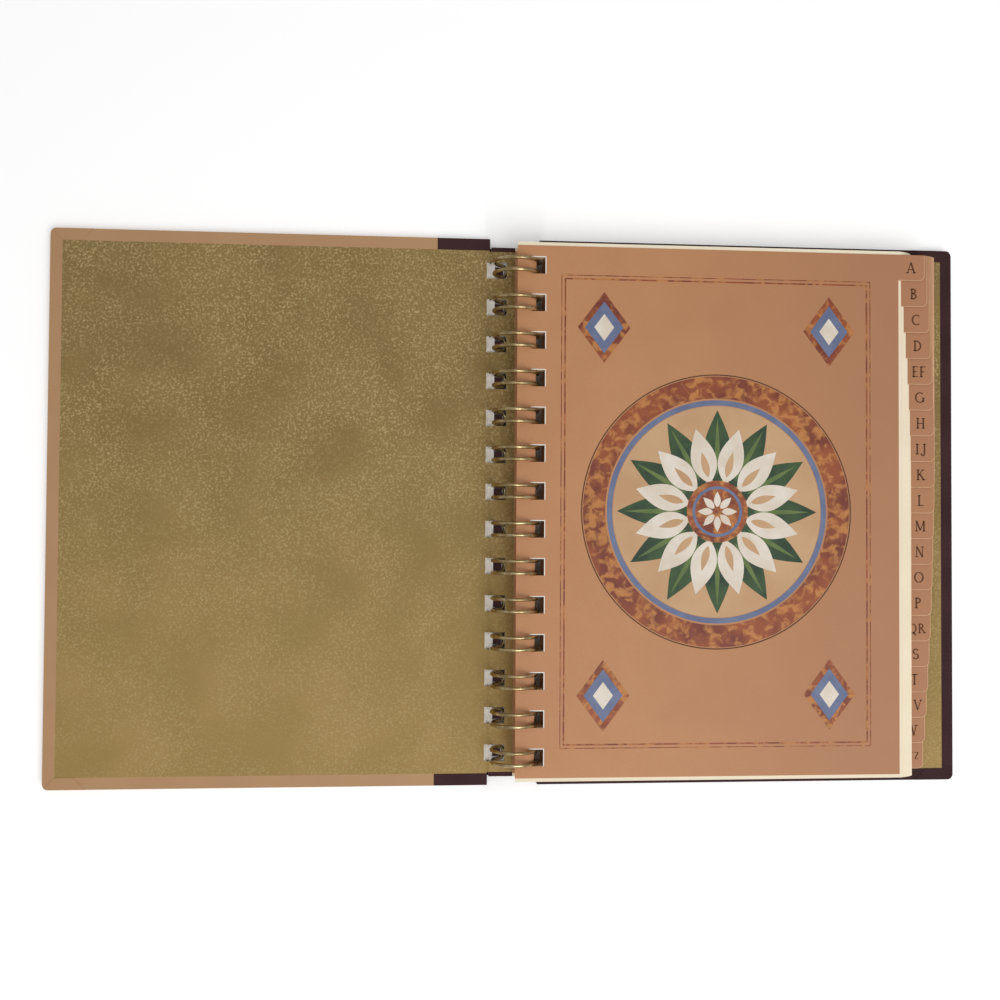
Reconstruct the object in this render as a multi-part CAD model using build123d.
from build123d import *
import math
import os

# Address book, opened flat at its first leaf and lying on a table.
# X runs across the opened book, Y up the page, Z up. The origin is on the table,
# under the middle of the spine. All sizes are in millimetres.

# Twin-loop wire binding
LOOP_PITCH = 12.7
LOOP_END_MARGIN = 3.9
LOOP_RADIUS = 7.6
WIRE_DIAMETER = 1.2
TWIN_SPACING = 4.0
LOOP_END_ANGLE = 234.0

# Hard covers
COVER_HEIGHT = 187.0
COVER_WIDTH = 147.5
COVERING_THICKNESS = 0.3
COVER_BOARD_THICKNESS = 2.2
LINING_THICKNESS = 0.3
COVER_CORNER = 2.0
TURN_IN = 4.0
CLOTH_STRIP_WIDTH = 18.0

# Spine panel between the two cloth folds
SPINE_SETBACK = 3.0
SPINE_BOARD_THICKNESS = 0.8
SPINE_TURN_IN = 1.5
FOLD_GAP = 0.3

# Leaves: one tabbed divider and one packet of address pages for each tab
TAB_NAMES = (
    "a", "b", "c", "d", "ef", "g", "h", "ij", "k", "l",
    "m", "n", "o", "p", "qr", "s", "t", "uv", "w", "xyz",
)
PAGE_SETBACK = 4.2
LEAF_WIDTH = 132.2
FORE_EDGE_FAN = 3.0
TAB_REACH = 9.4
TAB_CORNER = 2.0
DIVIDER_THICKNESS = 0.22
PACKET_THICKNESS = 0.22
PACKET_OVERHANG = 1.0
PACKET_HEAD_OVERHANG = 1.2
LEAF_GAP = 0.015
MIDDLE_LEAF_SLACK = 1.6

# Punched holes
HOLE_HEIGHT = 5.6
PAGE_HOLE_WIDTH = 4.8
PAGE_HOLE_MARGIN = 7.0
FOLD_HOLE_BITE = 1.0

# Clearances
RING_COVER_CLEARANCE = 0.2
STACK_CLEARANCE = 0.2
WIRE_HOLE_CLEARANCE = 0.3

# Worked-out places
SPINE_HEIGHT = COVER_HEIGHT - 2 * SPINE_SETBACK
PAGE_HEIGHT = COVER_HEIGHT - 2 * PAGE_SETBACK
LOOP_ROW = PAGE_HEIGHT - 2 * LOOP_END_MARGIN - HOLE_HEIGHT
LOOP_COUNT = math.floor(LOOP_ROW / LOOP_PITCH) + 1
WIRE_RADIUS = WIRE_DIAMETER / 2
RING_OUTSIDE = LOOP_RADIUS + WIRE_RADIUS
RING_HEIGHT = RING_OUTSIDE
COVER_THICKNESS = COVERING_THICKNESS + COVER_BOARD_THICKNESS + LINING_THICKNESS
SPINE_THICKNESS = COVERING_THICKNESS + SPINE_BOARD_THICKNESS + LINING_THICKNESS
SECTION_PITCH = DIVIDER_THICKNESS + PACKET_THICKNESS + 2 * LEAF_GAP
STACK_HALF = SECTION_PITCH * len(TAB_NAMES) / 2
SPINE_TOP = RING_HEIGHT - STACK_HALF - STACK_CLEARANCE
SPINE_BOTTOM = SPINE_TOP - SPINE_THICKNESS
FOLD_X = RING_OUTSIDE + RING_COVER_CLEARANCE
COVER_START = FOLD_X + FOLD_GAP
COVER_EDGE = FOLD_X + COVER_WIDTH
SPINE_EDGE = FOLD_X - FOLD_GAP
TWIN_HALF = TWIN_SPACING / 2


def block(x0, x1, height, z0, z1):
    """A box from x0 to x1 and z0 to z1, centred on Y."""
    size = Box(x1 - x0, height, z1 - z0)
    return Pos((x0 + x1) / 2, 0, (z0 + z1) / 2) * size


def loop_places():
    """The Y of each pair of loops, from the foot of the page to its head."""
    first = -(LOOP_COUNT - 1) * LOOP_PITCH / 2
    return [first + LOOP_PITCH * index for index in range(LOOP_COUNT)]


def hole_row(x0, x1, z0, z1):
    """One punched hole at each pair of loops, as solids to cut away."""
    return [Pos(0, y, 0) * block(x0, x1, HOLE_HEIGHT, z0, z1) for y in loop_places()]


def ring_x(height):
    """Half the width of the ring at a height above its centre."""
    return math.sqrt(LOOP_RADIUS ** 2 - height ** 2)


# The wire crosses the spine panel on a slant, and these holes let it through.
HOLE_OUTER = COVER_START + FOLD_HOLE_BITE
WIRE_INSIDE = LOOP_RADIUS - WIRE_RADIUS
SPINE_DEPTH = RING_HEIGHT - SPINE_BOTTOM
HOLE_INNER = math.sqrt(WIRE_INSIDE ** 2 - SPINE_DEPTH ** 2) - WIRE_HOLE_CLEARANCE


def fold_holes():
    """Both rows of holes, along the front fold and along the back fold."""
    front = hole_row(-HOLE_OUTER, -HOLE_INNER, -1, SPINE_TOP + 1)
    back = hole_row(HOLE_INNER, HOLE_OUTER, -1, SPINE_TOP + 1)
    return front + back


FOLD_HOLES = fold_holes()


# Hard cover pieces, drawn on the back side and mirrored for the front
def rounded(shape, outer, radius):
    """A cover piece with its two corners at the fore edge rounded."""
    upright = shape.edges().filter_by(Axis.Z)
    corners = [edge for edge in upright if abs(edge.center().X - outer) < COVERING_THICKNESS / 2]
    return fillet(corners, radius)


def cover_board():
    """Grey board, set in from the covering on its three outer edges."""
    outer = COVER_EDGE - COVERING_THICKNESS
    height = COVER_HEIGHT - 2 * COVERING_THICKNESS
    top = COVERING_THICKNESS + COVER_BOARD_THICKNESS
    board = block(COVER_START, outer, height, COVERING_THICKNESS, top)
    return rounded(board, outer, COVER_CORNER - COVERING_THICKNESS)


def cover_lining():
    """Olive paper pasted inside the cover, inside the turned-in border."""
    height = COVER_HEIGHT - 2 * TURN_IN
    bottom = COVER_THICKNESS - LINING_THICKNESS
    return block(COVER_START, COVER_EDGE - TURN_IN, height, bottom, COVER_THICKNESS)


def covering(x0, x1):
    """Covering from x0 to x1: the outside sheet, its wrapped edges and its turn-ins."""
    whole = block(x0, x1, COVER_HEIGHT, 0, COVER_THICKNESS)
    if x1 == COVER_EDGE:
        whole = rounded(whole, x1, COVER_CORNER)
    return whole - cover_board() - cover_lining()


def spine_board():
    """Thin board in the spine panel."""
    bottom = SPINE_BOTTOM + COVERING_THICKNESS
    height = SPINE_HEIGHT - 2 * COVERING_THICKNESS
    return block(-SPINE_EDGE, SPINE_EDGE, height, bottom, bottom + SPINE_BOARD_THICKNESS)


def spine_lining():
    """Olive paper inside the spine panel."""
    height = SPINE_HEIGHT - 2 * SPINE_TURN_IN
    return block(-SPINE_EDGE, SPINE_EDGE, height, SPINE_TOP - LINING_THICKNESS, SPINE_TOP)


def spine_cloth():
    """Cloth round the outside of the spine panel, turned in at head and foot."""
    whole = block(-SPINE_EDGE, SPINE_EDGE, SPINE_HEIGHT, SPINE_BOTTOM, SPINE_TOP)
    return whole - spine_board() - spine_lining()


def punched(shape):
    """A cover or spine piece with the binding holes cut through it."""
    return shape - FOLD_HOLES


def mirrored(shape):
    """A back cover piece turned into its front cover twin."""
    return mirror(shape, about=Plane.YZ)


# Twin-loop wire: one unbroken tube through every pair of loops
def ring_point(angle, y):
    """A point on the wire's centre line at an angle round the ring."""
    turn = math.radians(angle)
    return (LOOP_RADIUS * math.cos(turn), y, RING_HEIGHT + LOOP_RADIUS * math.sin(turn))


def tip_point(y):
    """The rounded tip that joins the two wires of one loop."""
    turn = math.radians(LOOP_END_ANGLE)
    x, _, z = ring_point(LOOP_END_ANGLE, y)
    return (x - TWIN_HALF * math.sin(turn), y, z + TWIN_HALF * math.cos(turn))


def ring_arcs(y, outward):
    """One wire of a loop, from under the spine round to its tip, or back again."""
    stations = [-90 + (LOOP_END_ANGLE + 90) * step / 8 for step in range(9)]
    if not outward:
        stations.reverse()
    points = [ring_point(angle, y) for angle in stations]
    return [ThreePointArc(*points[start:start + 3]) for start in (0, 2, 4, 6)]


def wire_stretches():
    """The wire's centre line from foot to head, as flat stretches of tangent arcs."""
    stretches = []
    back_radius = (LOOP_PITCH - TWIN_SPACING) / 2
    for index, y in enumerate(loop_places()):
        low = y - TWIN_HALF
        high = y + TWIN_HALF
        if index > 0:
            x, _, z = ring_point(-90, low)
            middle = (x - back_radius, low - back_radius, z)
            stretches.append([ThreePointArc((x, low - 2 * back_radius, z), middle, (x, low, z))])
        stretches.append(ring_arcs(low, True))
        tip_start = ring_point(LOOP_END_ANGLE, low)
        tip_end = ring_point(LOOP_END_ANGLE, high)
        stretches.append([ThreePointArc(tip_start, tip_point(y), tip_end)])
        stretches.append(ring_arcs(high, False))
    return stretches


def least_wire_gap(edges):
    """The least gap between the wire and itself, on points about a radius apart."""
    near = 3.2 * WIRE_DIAMETER
    far = 2 * (2 * math.pi * LOOP_RADIUS + LOOP_PITCH)
    points = []
    length = 0.0
    for edge in edges:
        steps = math.ceil(edge.length / WIRE_RADIUS)
        for step in range(steps):
            points.append((length + edge.length * step / steps, edge @ (step / steps)))
        length += edge.length
    least = LOOP_PITCH
    for index, (travel, point) in enumerate(points):
        for other_travel, other in points[index + 1:]:
            if other_travel - travel > far:
                break
            if other_travel - travel > near:
                least = min(least, (other - point).length - WIRE_DIAMETER)
    return least


def tube_along(edges):
    """A round tube along one flat stretch of the wire."""
    path = Wire(edges)
    start = Plane(origin=path @ 0, z_dir=path % 0)
    return sweep(start * Circle(WIRE_RADIUS), path=path).solid()


def twin_loop_wire():
    """Bronze-coloured wire bent into pairs of loops: one unbroken tube."""
    stretches = wire_stretches()
    edges = [edge for stretch in stretches for edge in stretch]
    tubes = [tube_along(stretch) for stretch in stretches]
    wire = tubes[0].fuse(*tubes[1:])
    swept = math.pi * WIRE_RADIUS ** 2 * sum(edge.length for edge in edges)
    print("least gap of the wire to itself:", round(least_wire_gap(edges), 2), "mm")
    print("wire volume over section times length:", round(wire.volume / swept, 4))
    return wire


# Leaves
def section_middle(index):
    """Height of a section's middle above the ring's centre, counted from the top."""
    return STACK_HALF - SECTION_PITCH * (index + 0.5)


def ring_swell(index):
    """How far the ring has swelled at a section: 0 at the top one and 1 at mid height."""
    top = ring_x(section_middle(0))
    return (ring_x(section_middle(index)) - top) / (LOOP_RADIUS - top)


def leaf_edge(index):
    """X of a section's bound edge: its holes hang on the ring, with some slack."""
    end_slack = PAGE_HOLE_MARGIN - ring_x(section_middle(0))
    slack = end_slack + (MIDDLE_LEAF_SLACK - end_slack) * ring_swell(index)
    return ring_x(section_middle(index)) + slack - PAGE_HOLE_MARGIN + LEAF_GAP


def leaf_reach(index):
    """X of a section's narrow fore edge: the upper leaves arch over the rings and fall short."""
    flatness = ring_swell(index) if section_middle(index) > 0 else 1
    return leaf_edge(index) + LEAF_WIDTH + FORE_EDGE_FAN * flatness


def page_holes(edge, z0, z1):
    """The punched row of one leaf."""
    x0 = edge + PAGE_HOLE_MARGIN - PAGE_HOLE_WIDTH / 2
    return hole_row(x0, x0 + PAGE_HOLE_WIDTH, z0 - 1, z1 + 1)


def divider(index):
    """Tan card, wide down to the foot of its tab and narrow below it."""
    edge = leaf_edge(index)
    top = RING_HEIGHT + section_middle(index) + SECTION_PITCH / 2 - LEAF_GAP / 2
    bottom = top - DIVIDER_THICKNESS
    head = PAGE_HEIGHT / 2
    tab_foot = head - PAGE_HEIGHT * (index + 1) / len(TAB_NAMES)
    narrow = leaf_reach(index)
    wide = narrow + TAB_REACH
    with BuildPart() as card:
        with BuildSketch(Plane.XY.offset(bottom)):
            with BuildLine():
                Polyline((edge, -head), (edge, head), (wide, head), (wide, tab_foot + TAB_CORNER))
                RadiusArc((wide, tab_foot + TAB_CORNER), (wide - TAB_CORNER, tab_foot), TAB_CORNER)
                if index < len(TAB_NAMES) - 1:
                    Polyline((wide - TAB_CORNER, tab_foot), (narrow, tab_foot), (narrow, -head), (edge, -head))
                else:
                    Line((wide - TAB_CORNER, tab_foot), (edge, -head))
            make_face()
        extrude(amount=DIVIDER_THICKNESS)
    return card.part - page_holes(edge, bottom, top)


def packet(index):
    """Cream address pages that lie under a divider."""
    edge = leaf_edge(index)
    bottom = RING_HEIGHT + section_middle(index) - SECTION_PITCH / 2 + LEAF_GAP / 2
    top = bottom + PACKET_THICKNESS
    height = PAGE_HEIGHT + 2 * PACKET_HEAD_OVERHANG
    sheet = block(edge, leaf_reach(index) + PACKET_OVERHANG, height, bottom, top)
    return sheet - page_holes(edge, bottom, top)


# Every piece, under the name of its file
STRIP_END = COVER_START + CLOTH_STRIP_WIDTH
pieces = {
    "back_board": punched(cover_board()),
    "back_cloth": punched(covering(COVER_START, COVER_EDGE)),
    "back_lining": punched(cover_lining()),
    "front_board": mirrored(punched(cover_board())),
    "front_cloth_strip": mirrored(punched(covering(COVER_START, STRIP_END))),
    "front_cover_paper": mirrored(covering(STRIP_END, COVER_EDGE)),
    "front_lining": mirrored(punched(cover_lining())),
    "spine_board": punched(spine_board()),
    "spine_cloth": punched(spine_cloth()),
    "spine_lining": punched(spine_lining()),
    "twin_loop_wire": twin_loop_wire(),
}
for place, name in enumerate(TAB_NAMES):
    pieces["divider_" + name] = divider(place)
    pieces["pages_" + name] = packet(place)

os.makedirs("parts", exist_ok=True)
for name, shape in pieces.items():
    export_step(shape, "parts/" + name + ".step")
